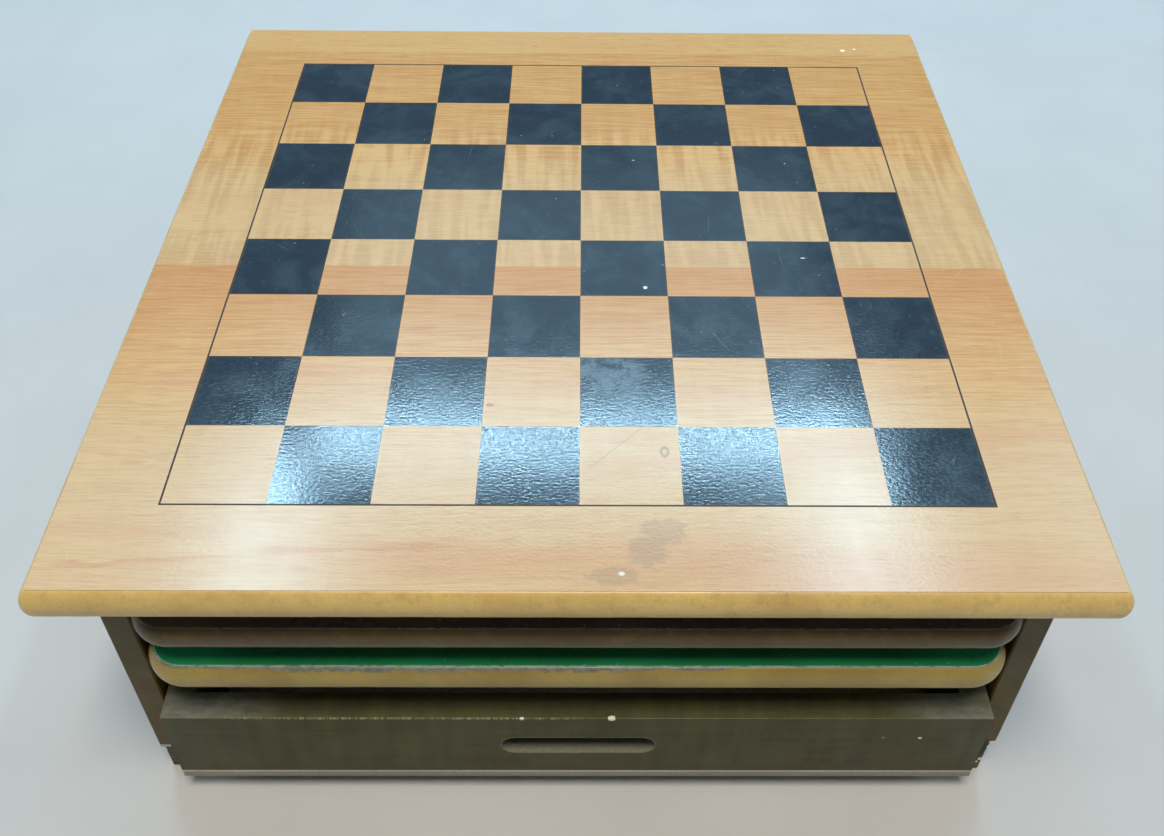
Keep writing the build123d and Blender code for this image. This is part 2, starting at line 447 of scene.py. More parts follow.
class NailRowTree(GeometryTree):
    """A straight row of flat-headed nails, each sunk by a slightly different depth."""

    def __init__(self) -> None:
        """Builds the tree with inputs for the row, the nail and the seed."""
        super().__init__("nail_row")
        start, step, turn = self.inputs("Vector", "Start", "Step", "Turn")
        count, seed = self.inputs("Int", "Count", "Seed")
        length, shank, head, head_height, sink = self.inputs(
            "Float", "Length", "Shank Radius", "Head Radius", "Head Height", "Sink"
        )
        (material,) = self.inputs("Material", "Material")
        line = self.value("GeometryNodeMeshLine", mode="OFFSET", Count=count, Start_Location=start, Offset=step)
        nail = self.join(*self.nail(length, shank, head, head_height))
        placed = self.value("GeometryNodeInstanceOnPoints", Points=line, Instance=nail, Rotation=turn)
        depth = self.value("FunctionNodeRandomValue", data_type="FLOAT", Min=0.0, Max=sink, Seed=seed)
        drop = self.point(0.0, 0.0, depth * -1.0)
        placed = self.value("GeometryNodeTranslateInstances", Instances=placed, Translation=drop)
        self.close(placed, material, smooth=False)

    def nail(self, length: Value, shank: Value, head: Value, head_height: Value) -> List[Value]:
        """Makes one nail that points down from a head at z = 0.

        Args:
            length: Whole length.
            shank: Radius of the shank.
            head: Radius of the head.
            head_height: Thickness of the head.

        Returns:
            The worn rim of the head, the head, the shank and its point.
        """
        rim, tip = head_height * 0.25, shank * 3.0
        stack = (
            (head * 0.90, head, rim),
            (head, head, head_height - rim),
            (shank, shank, length - head_height - tip),
            (shank, 0.0, tip),
        )
        pieces = []
        top: Number = 0.0
        for upper, lower, depth in stack:
            cone = self.value("GeometryNodeMeshCone", Vertices=20, Radius_Top=upper, Radius_Bottom=lower, Depth=depth)
            top = top - depth
            pieces.append(self.value("GeometryNodeTransform", Geometry=cone, Translation=self.point(0.0, 0.0, top)))
        return pieces


# ---------------------------------------------------------------------------
# Finishes
# ---------------------------------------------------------------------------


@dataclass(frozen=True)
class BeechPrint:
    """The beech wood grain that is printed on the top, in planks that run along X."""

    pale: Colour = (0.635, 0.395, 0.170)
    deep: Colour = (0.515, 0.252, 0.080)
    pink: Colour = (0.560, 0.262, 0.132)
    # cream is the pale wood colour; toward the front edge it is also painted glare, the lamps' soft wash painted into
    # the print
    cream: Colour = (0.595, 0.445, 0.258)
    pore: Colour = (0.34, 0.150, 0.052)
    front_seam: float = -18.3
    back_seam: float = 163.0
    front_seed: float = 37.0
    back_seed: float = 91.0

    def paint(self, s: Shader) -> Tuple[Value, Value]:
        """Lays the printed wood.

        Args:
            s: The material being built.

        Returns:
            The colour, and a grain relief from 0 to 1.
        """
        front, back = s.y < self.front_seam, s.y > self.back_seam
        middle = 1.0 - (front + back)
        plank = front * self.front_seed + back * self.back_seed
        across = s.y + (s.grain(s.x * 0.006, s.y * 0.012, plank) - 0.5) * 9.0
        streaks = s.grain(s.x * 0.0060, across * 0.15, plank, 3.0, 0.62)
        fine = s.grain(s.x * 0.034, across * 1.10, plank, 3.0, 0.60)
        bars = self.ripples(s, middle)
        tone = streaks.ramp(0.34, 0.68, 0.09, 0.28) + fine.ramp(0.40, 0.62, -0.26, 0.40)
        tone = tone + bars * 0.30 + middle * s.y.ramp(62.0, 96.0, 0.0, 0.26)
        tone = tone + (back * -0.30 + front * s.y.ramp(-84.0, -24.0, 0.02, 0.42))
        colour = s.mix(tone, self.pale, self.deep)
        # Lighter cream on the lower middle plank is the print's own figure; the cream toward the front edge of the
        # front plank is partly painted glare
        light = s.most(middle * s.y.ramp(76.0, 30.0, 0.0, 0.55), front * s.y.ramp(-75.0, -135.0, 0.0, 0.50))
        colour = s.mix(light, colour, self.cream)
        heart = s.grain(s.x * 0.0045, across * 0.048, plank + 5.0, 2.0, 0.5, 0.4)
        heart = heart.ramp(0.48, 0.72, 0.0, 0.42) * (0.42 + front * 0.58)
        blush = front * s.y.ramp(-90.0, -24.0, 0.0, 0.34)
        colour = s.mix(s.most(heart, blush), colour, self.pink)
        colour = s.shade(colour, 1.0 - bars * 0.045)
        flecks = s.grain(s.x * 0.10, across * 2.4, plank, 2.0, 0.6)
        flecks = flecks.ramp(0.52, 0.68, 0.0, 0.34) * streaks.ramp(0.30, 0.62, 0.50, 1.0)
        return s.mix(flecks, colour, self.pore), fine

    def ripples(self, s: Shader, middle: Value) -> Value:
        """Fiddleback: soft light and dark bars across the grain of the middle plank.

        Args:
            s: The material being built.
            middle: 1 on the middle plank.

        Returns:
            From -1 in a light bar to 1 in a dark one, near 0 away from the figure.
        """
        bars = s.grain((s.x + s.y * 0.03) * 0.22, s.y * 0.024, 3.0, 1.0, 0.5, 0.12)
        fade = s.y.ramp(98.0, 70.0)
        patch = s.grain(s.x * 0.014, s.y * 0.020, 8.0, 1.0).ramp(0.34, 0.54, 0.50, 1.0)
        return bars.ramp(0.36, 0.64, -1.0, 1.0) * (fade * middle * patch * 0.90 + 0.10)


@dataclass(frozen=True)
class Mark:
    """An oval mark on the top: middle and half sizes in millimetres, strength and colour."""

    place: Pair
    reach: Pair
    share: float
    tint: Colour = (0.80, 0.85, 0.84)


@dataclass(frozen=True)
class PlayingTop:
    """The varnished print on the top: beech grain with an eight by eight board.

    A vein has its two ends and half its width, and a stain its middle and half sizes.
    """

    square: float = 37.5
    squares: int = 8
    line: float = 0.72
    ink: Colour = (0.022, 0.039, 0.059)
    ink_worn: Colour = (0.039, 0.066, 0.091)
    outline: Colour = (0.020, 0.008, 0.005)
    scuff: Colour = (0.30, 0.37, 0.41)
    pale_scuff: Colour = (0.88, 0.74, 0.56)
    vein: Colour = (0.50, 0.20, 0.095)
    stain: Colour = (0.29, 0.205, 0.130)
    knot: Colour = (0.26, 0.15, 0.08)
    scratch: Colour = (0.30, 0.20, 0.13)
    veins: Tuple[Tuple[Pair, Pair, float], ...] = (
        ((-186.0, -178.0), (-112.0, -171.5), 1.2),
        ((-118.0, -171.0), (-40.0, -167.5), 1.5),
        ((-74.0, -60.0), (-58.0, -57.0), 1.0),
    )
    stains: Tuple[Tuple[Pair, Pair], ...] = (
        ((30.0, -162.0), (8.5, 6.0)),
        ((23.5, -170.0), (7.0, 7.5)),
        ((12.0, -180.5), (9.0, 3.6)),
    )
    ink_spots: Tuple[Mark, ...] = (
        Mark((28.0, -32.0), (0.9, 0.9), 1.0),
        Mark((99.0, -11.7), (1.1, 0.5), 0.6),
        Mark((25.6, 62.3), (0.8, 0.4), 0.4),
        Mark((99.7, 60.2), (0.4, 0.5), 0.4),
    )
    wood_spots: Tuple[Mark, ...] = (
        Mark((-35.0, -101.4), (1.6, 0.9), 0.75, (0.36, 0.09, 0.045)),
        Mark((14.5, -179.5), (1.1, 0.8), 0.80, (0.84, 0.78, 0.68)),
        Mark((145.3, 168.2), (1.3, 1.2), 0.95, (0.95, 0.90, 0.80)),
        Mark((152.0, 169.8), (0.9, 0.7), 0.85, (0.92, 0.85, 0.72)),
    )
    wood: BeechPrint = BeechPrint()

    def build(self) -> Material:
        """Builds the material.

        Returns:
            The finished material.
        """
        s = Shader("playing_top")
        wood, grain = self.wood.paint(s)
        ink, edge, frame_line = self.masks(s)
        plane = s.point(s.x, s.y)
        cloud = s.clouds(plane, 0.045, 4.0, 0.66, 0.5)
        hairlines = s.most(s.strokes(plane, 0.036, 10.0, 0.15, 0.28), s.strokes(plane, 0.13, 2.0, 0.18, 0.16) * 0.8)
        dots = s.most(s.specks(plane, 0.060, 0.026, 0.30), s.specks(plane, 0.21, 0.055, 0.10) * 0.5)
        rubbed = self.rubbed_patch(s)
        dark = s.mix(cloud.ramp(0.38, 0.76), self.ink, self.ink_worn)
        for mask, share in ((hairlines, 0.20), (dots, 0.36), (rubbed, 0.12)):
            dark = s.mix(mask * share, dark, self.scuff)
        for spot in self.ink_spots:
            here = s.oval(s.x, s.y, spot.place, spot.reach).ramp(1.2, 0.8, 0.0, spot.share)
            dark = s.mix(here, dark, spot.tint)
        colour = s.mix(s.most(edge, frame_line) * 0.97, self.marked(s, wood), self.outline)
        colour = s.mix(ink * (1.0 - edge * 0.85), colour, dark)
        colour = s.mix(hairlines * (1.0 - ink) * 0.08, colour, self.pale_scuff)
        wear = hairlines * 0.10 + (rubbed * 0.14 + cloud.ramp(0.35, 0.75, -0.008, 0.022))
        peel = s.grain(s.x * 0.58, s.y * 0.95, 0.0, 1.5, 0.50)
        mottle = ink * peel.ramp(0.35, 0.65, -0.022, 0.022)
        rough = 0.222 + ink * -0.104 + wear + (mottle + frame_line * 0.30)
        return s.finish(colour, rough, Normal=s.relief(grain, 0.008, Normal=s.relief(peel, 0.031)))

    def masks(self, s: Shader) -> Tuple[Value, Value, Value]:
        """Works out where the ink is.

        Args:
            s: The material being built.

        Returns:
            1 on the dark squares, 1 on their thin brown outline, 1 on the line round the field.
        """
        half = self.square * self.squares / 2
        column, rank = (s.x + half) / self.square, (s.y + half) / self.square
        odd = s.math("FRACT", (s.math("FLOOR", column) + s.math("FLOOR", rank)) * 0.5) * 2.0
        reach = s.most(abs(s.x), abs(s.y))
        to_side, to_rank = (0.5 - abs(s.math("FRACT", place) - 0.5) for place in (column, rank))
        ink = (reach < half) * odd
        edge = ink * (s.least(to_side, to_rank) * self.square).ramp(0.42, 0.20)
        line = (reach > half - 0.05) * (reach < half + self.line)
        return ink, edge, line

    def rubbed_patch(self, s: Shader) -> Value:
        """One rubbed patch with a ragged edge on a dark square, and faint rubbing elsewhere.

        Args:
            s: The material being built.

        Returns:
            Up to 1 where the ink is rubbed.
        """
        ragged = s.clouds(s.point(s.x, s.y, 70.0), 0.16, 4.0, 0.75)
        inside = s.oval(s.x, s.y, (10.0, -83.0), (17.0, 9.0)).ramp(1.25, 0.55)
        return s.most(ragged.ramp(0.42, 0.56) * inside, ragged.ramp(0.66, 0.78, 0.0, 0.6))

    def marked(self, s: Shader, wood: Value) -> Value:
        """Adds the veins, the stains, the spots, a small ring-shaped knot and the long scratch.

        Args:
            s: The material being built.
            wood: Colour of the printed wood.

        Returns:
            The marked colour.
        """
        for start, end, half_width in self.veins:
            wood = s.mix(self.stroke(s, start, end, half_width, 0.8) * 0.38, wood, self.vein)
        ragged = (s.clouds(s.point(s.x, s.y, 20.0), 0.20, 3.0, 0.7) - 0.5) * 1.5
        stain: Number = 0.0
        for centre, reach in self.stains:
            stain = s.most(stain, (s.oval(s.x, s.y, centre, reach) + ragged).ramp(1.10, 0.75))
        wood = s.mix(stain * 0.36, wood, self.stain)
        for spot in self.wood_spots:
            here = s.oval(s.x, s.y, spot.place, spot.reach).ramp(1.25, 0.75) * spot.share
            wood = s.mix(here, wood, spot.tint)
        ring = abs(s.oval(s.x, s.y, (31.8, -125.0), (1.35, 2.1)) - 1.0)
        wood = s.mix(ring.ramp(0.46, 0.16, 0.0, 0.70), wood, self.knot)
        return s.mix(self.stroke(s, (3.8, -132.9), (24.9, -111.6), 0.22) * 0.5, wood, self.scratch)

    def stroke(self, s: Shader, start: Pair, end: Pair, half_width: float, waver: float = 0.0) -> Value:
        """A thin line between two places.

        Args:
            s: The material being built.
            start: One end, in millimetres.
            end: The other end.
            half_width: Half its width.
            waver: How far it strays from straight, with soft ends.

        Returns:
            1 on the line.
        """
        length = math.hypot(end[0] - start[0], end[1] - start[1])
        way_x, way_y = (end[0] - start[0]) / length, (end[1] - start[1]) / length
        from_x, from_y = s.x - start[0], s.y - start[1]
        along, across = from_x * way_x + from_y * way_y, from_y * way_x - from_x * way_y
        if waver:
            across = across + (s.grain(s.x * 0.05, s.y * 0.3, 0.0, 3.0) - 0.5) * (9 * waver)
        soft = 0.2 * length if waver else 0.5
        on = along.ramp(0.0, soft) * along.ramp(length, length - soft)
        return on * abs(across).ramp(half_width * 1.4, half_width * 0.4)


@dataclass(frozen=True)
class EdgePaint:
    """Paint on the rounded edge of a board, tan on the top, with a plain brown sheet under the board."""

    name: str
    paint: Colour = (0.720, 0.520, 0.182)
    thin: Colour = (0.620, 0.420, 0.147)
    fibre: Colour = (0.30, 0.20, 0.115)
    dirt: Colour = (0.24, 0.15, 0.06)
    backing: Colour = (0.31, 0.215, 0.125)
    bare: Colour = (0.185, 0.200, 0.160)
    face_z: Optional[float] = None

    def build(self) -> Material:
        """Builds the material.

        Returns:
            The finished material.
        """
        s = Shader(self.name)
        patch = s.clouds(s.place, 0.035, 3.0, 0.6)
        stipple = s.clouds(s.place, 0.9, 3.0, 0.6)
        fleck = s.clouds(s.place, 0.22, 4.0, 0.75)
        colour = s.mix(patch.ramp(0.35, 0.70), self.paint, self.thin)
        colour = s.shade(colour, stipple.ramp(0.3, 0.7, 0.955, 1.045))
        colour = s.mix(fleck.ramp(0.50, 0.66) * 0.20, colour, self.dirt)
        chips = fleck.ramp(0.715, 0.730) * patch.ramp(0.45, 0.55)
        colour = s.mix(chips, colour, self.fibre)
        if self.face_z is not None:
            colour = s.mix(self.unpainted(s), colour, s.shade(self.bare, fleck.ramp(0.3, 0.7, 0.8, 1.4)))
        under = s.up().ramp(-0.90, -0.97)
        fibres = s.grain(s.x * 0.3, s.y * 0.9, s.z, 3.0, 0.7)
        colour = s.mix(under, colour, s.shade(self.backing, fibres.ramp(0.25, 0.75, 0.80, 1.15)))
        rough = patch.ramp(0.3, 0.7, 0.30, 0.38) + (chips * 0.4 + under * 0.25)
        return s.finish(colour, rough, Normal=s.relief(stipple - chips * 2.0, 0.030))

    def unpainted(self, s: Shader) -> Value:
        """The grey rim under the printed face, where the tan paint ends in scallops.

        Args:
            s: The material being built.

        Returns:
            1 where the paint is missing.
        """
        lobes = s.grain(s.x * 0.24, s.y * 0.24, 0.0, 2.0, 0.55)
        level = s.x.ramp(-122.0, -104.0, 0.90, 1.75) + s.x.ramp(12.0, 22.0, 0.0, -0.75)
        level = level + s.x.ramp(48.0, 64.0, 0.0, -0.85)
        return (self.face_z - s.z - level * lobes.ramp(0.36, 0.58, 0.45, 1.0)).ramp(0.35, -0.35)


class Wrap(Enum):
    """Along which way the grain of a foil runs over a piece."""

    CROSS_WALL = "cross_wall"
    LONG_WALL = "long_wall"


@dataclass(frozen=True)
class WearAndShade:
    """Where a foil is worn, and where painted shadow and light lie on it, in millimetres at rest. Each field but the
    first is left out where it isn't so.

    Attributes:
        front_y: Front face of the piece.
        arris_z: Height of its rubbed upper arris.
        foot_z: Height of its foot, which has a dark line.
        slot: Middle along X, middle height, half length and radius of the slot.
        chips: Place along X, height and size of each white chip.
        tear: Height and half thickness of the bare line over a torn foot.
        notch: Middle along X, middle height and half sizes of a broken corner that is painted near black as shadow.
        dust_and_light_ends: How far out along X the dust_and_painted_light colour starts and is full.
    """

    front_y: Optional[float] = None
    arris_z: Optional[float] = None
    foot_z: Optional[float] = None
    slot: Optional[Tuple[float, float, float, float]] = None
    chips: Tuple[Point, ...] = ()
    tear: Optional[Pair] = None
    notch: Optional[Tuple[float, float, float, float]] = None
    dust_and_light_ends: Optional[Pair] = None


@dataclass(frozen=True)
class GrainFoil:
    """Brown wood-grain foil with soft cross ripples, on the cabinet and the drawer."""

    name: str
    wrap: Wrap
    ripple: float = 0.10
    wear: WearAndShade = WearAndShade()
    pale: Colour = (0.112, 0.076, 0.012)
    deep: Colour = (0.072, 0.045, 0.008)
    pore: Colour = (0.032, 0.019, 0.006)
    core: Colour = (0.30, 0.31, 0.23)
    core_deep: Colour = (0.20, 0.20, 0.14)
    chip: Colour = (0.78, 0.76, 0.66)
    # grey of dust on the drawer's top edges, also painted light where light reaches their ends and front
    dust_and_painted_light: Colour = (0.26, 0.28, 0.26)
    foot: Colour = (0.066, 0.042, 0.011)
    # Near black: painted shadow in the broken corner
    broken: Colour = (0.012, 0.010, 0.008)
    torn: Colour = (0.040, 0.024, 0.014)

    def build(self) -> Material:
        """Builds the material.

        Returns:
            The finished material.
        """
        s = Shader(self.name)
        along, across = self.layout(s)
        row = across + (s.grain(along * 0.008, across * 0.03) - 0.5) * 7.0
        streaks = s.grain(along * 0.009, row * 0.24, 0.0, 3.0, 0.6)
        fine = s.grain(along * 0.035, row * 1.5, 0.0, 3.0, 0.65)
        tone = streaks.ramp(0.32, 0.68, 0.05, 0.60) + fine.ramp(0.3, 0.7, -0.15, 0.25)
        bars = s.grain(along * 0.125, across * 0.014, 4.0, 1.5, 0.55, 0.3)
        bars = bars.ramp(0.32, 0.68, -self.ripple, self.ripple)
        colour = s.shade(s.mix(tone, self.pale, self.deep), 1.0 + bars)
        pores = s.grain(along * 0.22, row * 2.6, 0.0, 2.0, 0.6).ramp(0.60, 0.75, 0.0, 0.4)
        colour = self.stained_and_shaded(s, s.mix(pores, colour, self.pore))
        bare = self.bare_places(s)
        fibres = s.clouds(s.place, 1.6, 3.0, 0.75)
        core = self.chip if self.wear.tear else self.core
        colour = s.mix(bare, colour, s.mix(fibres.ramp(0.3, 0.7), core, self.core_deep))
        # The inside of the slot is painted 30% darker: painted shade in the recess
        if self.wear.slot is not None:
            colour = s.shade(colour, 1.0 - self.slot_lining(s) * 0.30)
        colour = s.mix(self.chipped(s), colour, self.chip)
        rough = s.clouds(s.place, 0.05, 3.0, 0.65).ramp(0.3, 0.7, 0.34, 0.48) + bare * 0.35
        return s.finish(colour, rough, Normal=s.relief(fine - bare * 0.8, 0.035), Specular_IOR_Level=0.30)

    def layout(self, s: Shader) -> Tuple[Value, Value]:
        """Gives the two directions of the foil, along the grain and across it."""
        return (s.x, s.y + s.z) if self.wrap is Wrap.CROSS_WALL else (s.y, s.x + s.z)

    def stained_and_shaded(self, s: Shader, colour: Value) -> Value:
        """Adds the dark line at the foot, the dust_and_painted_light grey on the drawer's top edges, and the painted
        shadow in broken places.

        Args:
            s: The material being built.
            colour: Colour of the foil.

        Returns:
            The colour with its stains and its painted light and shade.
        """
        wear = self.wear
        if wear.foot_z is not None:
            wavy = s.z + s.grain(s.x * 0.04, 0.0, 0.0, 3.0) * 1.2 - s.x.ramp(-150.0, 150.0)
            colour = s.mix(wavy.ramp(wear.foot_z + 5.4, wear.foot_z + 4.0, 0.0, 0.88), colour, self.foot)
        # Grey on upward faces, strongest at the ends and toward the front: partly dust, partly painted light where
        # light reaches past the boards; it fades to the back, where shade falls
        if wear.dust_and_light_ends is not None:
            smear = s.grain(s.x * 0.14, s.y * 0.30, 0.0, 5.0, 0.75)
            near_end = abs(s.x - 4.0).ramp(*wear.dust_and_light_ends, 0.11, 0.62)
            upward = s.up().ramp(0.6, 0.9) * s.y.ramp(wear.front_y + 34.0, wear.front_y + 1.0)
            colour = s.mix(near_end * upward * smear.ramp(0.36, 0.64, 0.55, 1.0), colour, self.dust_and_painted_light)
        if wear.notch is not None:
            # The broken corner is painted near black: painted shadow in the notch, on top of its cut shape
            inside = s.oval(s.x, s.z, wear.notch[:2], wear.notch[2:]).ramp(1.15, 0.8, 0.0, 0.92)
            colour = s.mix(inside * s.y.ramp(wear.front_y + 8.0, wear.front_y + 5.0), colour, self.broken)
        if wear.tear is not None:
            level = wear.tear[0] - wear.tear[1]
            near_front = s.y.ramp(wear.front_y + 9.0, wear.front_y + 2.4)
            colour = s.mix(s.z.ramp(level, level - 0.4, 0.0, 0.75) * near_front, colour, self.torn)
        return colour

    def bare_places(self, s: Shader) -> Value:
        """Finds where the foil has worn or chipped off.

        Args:
            s: The material being built.

        Returns:
            1 where the core shows.
        """
        wear = self.wear
        bare = s.specks(s.point(*self.layout(s)), 0.017, 0.016, 0.22) * 0.6
        if wear.arris_z is not None:
            off = s.most(abs(s.z - wear.arris_z), abs(s.y - wear.front_y))
            nick = s.grain(s.x * 0.55, 6.0, 0.0, 4.0, 0.8).ramp(0.47, 0.54)
            worn = abs(s.x + 70.0).ramp(78.0, 50.0, 0.10, 1.0)
            some = s.grain(s.x * 0.03, 2.0).ramp(0.36, 0.50, 0.25, 1.0)
            bare = s.most(bare, off.ramp(0.75, 0.45) * (nick * (worn * some)))
        if wear.slot is not None:
            bare = s.most(bare, self.slot_lining(s))
        if wear.tear is not None:
            z, thickness = wear.tear
            wavy = s.z + (s.grain(s.x * 0.4, 3.0, 0.0, 3.0) - 0.5)
            line = abs(wavy - z).ramp(thickness, thickness * 0.7)
            bare = s.most(bare, line * (s.y < wear.front_y + 3.0))
        return bare

    def chipped(self, s: Shader) -> Number:
        """Finds the small white chips.

        Args:
            s: The material being built.

        Returns:
            1 in a chip.
        """
        chips: Number = 0.0
        ragged = (s.clouds(s.place, 0.9, 3.0, 0.7) - 0.5) * 0.9
        for x, z, reach in self.wear.chips:
            out = s.away_from((x, self.wear.front_y, z)) / reach + ragged
            chips = s.most(chips, out.ramp(1.15, 0.85))
        return chips

    def slot_lining(self, s: Shader) -> Value:
        """Finds the inside of the slot, with a slightly torn foil edge.

        Args:
            s: The material being built.

        Returns:
            1 inside the slot.
        """
        centre_x, centre_z, half_length, radius = self.wear.slot
        out_x = s.most(abs(s.x - centre_x) - (half_length - radius), 0.0)
        torn = s.clouds(s.place, 0.5, 3.0, 0.7).ramp(0.3, 0.7, -0.05, 0.50)
        return s.hypot(out_x, s.z - centre_z) < (radius + 0.12) + torn


@dataclass(frozen=True)
class BareBoard:
    """Plain fibreboard and hardboard: the base, the drawer bottom and the dividers."""

    name: str = "bare_board"
    pale: Colour = (0.46, 0.48, 0.38)
    deep: Colour = (0.33, 0.33, 0.25)
    hair: Colour = (0.16, 0.11, 0.07)
    # arris_z: height of the top arris, painted lighter above and darker below as painted highlight and shade
    arris_z: Optional[float] = None

    def build(self) -> Material:
        """Builds the material.

        Returns:
            The finished material.
        """
        s = Shader(self.name)
        felt = s.clouds(s.place, 0.9, 5.0, 0.75)
        cloud = s.clouds(s.place, 0.02, 3.0, 0.6)
        hairs = s.grain(s.x * 1.8, s.y * 0.5, s.z * 1.8, 3.0, 0.7)
        colour = s.mix(felt.ramp(0.3, 0.72), self.pale, self.deep)
        colour = s.shade(colour, cloud.ramp(0.3, 0.7, 0.90, 1.08))
        colour = s.mix(hairs.ramp(0.66, 0.80, 0.0, 0.5), colour, self.hair)
        # Painted highlight and shade: lighter at the top arris, darker below it
        if self.arris_z is not None:
            painted_arris_light = (s.z + felt * 0.8).ramp(self.arris_z - 1.6, self.arris_z - 0.5, 0.72, 1.30)
            colour = s.shade(colour, painted_arris_light)
        return s.finish(colour, cloud.ramp(0.3, 0.7, 0.62, 0.80), Normal=s.relief(felt, 0.08))


@dataclass(frozen=True)
class PlanedWood:
    """Planed solid wood with its grain along Y: the runners, and the dowels."""

    name: str
    pale: Colour = (0.58, 0.41, 0.235)
    deep: Colour = (0.40, 0.255, 0.13)

    def build(self) -> Material:
        """Builds the material.

        Returns:
            The finished material.
        """
        s = Shader(self.name)
        lines = s.grain(s.x * 0.9, s.y * 0.02, s.z * 0.9, 4.0, 0.65, 0.3)
        marks = s.grain(s.x * 3.0, s.y * 0.25, s.z * 3.0)
        colour = s.mix(lines.ramp(0.32, 0.68), self.pale, self.deep)
        colour = s.shade(colour, marks.ramp(0.60, 0.75, 1.0, 0.75))
        return s.finish(colour, lines.ramp(0.3, 0.7, 0.50, 0.66), Normal=s.relief(lines, 0.08))


@dataclass(frozen=True)
class NailSteel:
    """Dull nail steel with small rust freckles."""

    steel: Colour = (0.42, 0.41, 0.39)
    rust: Colour = (0.17, 0.07, 0.03)

    def build(self) -> Material:
        """Builds the material.

        Returns:
            The finished material.
        """
        s = Shader("nail_steel")
        grit = s.clouds(s.place, 2.2, 4.0, 0.7)
        rusty = s.clouds(s.place, 0.6, 4.0, 0.7).ramp(0.52, 0.66, 0.0, 0.7)
        rough = grit.ramp(0.3, 0.7, 0.32, 0.50) + rusty * 0.25
        return s.finish(s.mix(rusty, self.steel, self.rust), rough, Normal=s.relief(grit, 0.03), Metallic=0.9)


@dataclass(frozen=True)
class Game:
    """A line round the playing field, which each game adds its own pattern to. Places are in millimetres."""

    field: float = 132.0
    line_width: float = 1.2

    def square_line(self, s: Shader, board_y: Value, half: float) -> Value:
        """1 on the outline of a square about the middle of the board."""
        return abs(s.most(abs(s.x), abs(board_y)) - half) < self.line_width / 2


@dataclass(frozen=True)
class Mill(Game):
    """Nine men's morris: three squares joined at the middle of their sides."""

    dot: float = 3.4

    def paint(self, s: Shader, colour: Value, board_y: Value, line: Colour) -> Value:
        """Draws the outer line, the three squares, the joining lines and a dot at each place.

        Args:
            s: The material being built.
            colour: Colour of the face.
            board_y: Distance behind the middle of the board.
            line: Colour of the lines.

        Returns:
            The printed colour.
        """
        step = self.field / 3.5
        far, near = s.most(abs(s.x), abs(board_y)), s.least(abs(s.x), abs(board_y))
        drawn = self.square_line(s, board_y, self.field)
        for ring in (1, 2, 3):
            drawn = s.most(drawn, self.square_line(s, board_y, step * ring))
        joined = (far > step) * (far < step * 3)
        drawn = s.most(drawn, (near < self.line_width / 2) * joined)
        rank_far, rank_near = (s.math("ROUND", reach / step) for reach in (far, near))
        from_place = s.hypot(far - rank_far * step, near - rank_near * step)
        place = s.most(rank_far - rank_near < 0.5, rank_near < 0.5) * (abs(rank_far - 2.0) < 1.5)
        return s.mix(s.most(drawn, place * (from_place < self.dot)), colour, line)


@dataclass(frozen=True)
class Points(Game):
    """Backgammon: twelve long points at the front and twelve at the back, and a bar."""

    long: float = 110.0
    bar: float = 9.0
    pale: Colour = (0.50, 0.35, 0.20)
    red: Colour = (0.20, 0.035, 0.025)

    def paint(self, s: Shader, colour: Value, board_y: Value, line: Colour) -> Value:
        """Draws the points in two colours, their frame and the bar.

        Args:
            s: The material being built.
            colour: Colour of the face.
            board_y: Distance behind the middle of the board.
            line: Colour of the lines.

        Returns:
            The printed colour.
        """
        column = (abs(s.x) - self.bar) / ((self.field - self.bar) / 6)
        from_middle = abs(s.math("FRACT", column) - 0.5) * 2.0
        height = (self.field - abs(board_y)) / self.long
        inside = (column > 0.0) * (column < 6.0) * (height > 0.0)
        tip = inside * (from_middle + height < 1.0)
        sides = (s.x > 0.0) + (board_y > 0.0)
        odd = s.math("FRACT", (s.math("FLOOR", column) + sides) * 0.5) * 2.0
        colour = s.mix(tip, colour, s.mix(odd, self.pale, self.red))
        bar = (abs(abs(s.x) - self.bar) < self.line_width / 2) * (abs(board_y) < self.field)
        return s.mix(s.most(bar, self.square_line(s, board_y, self.field)), colour, line)


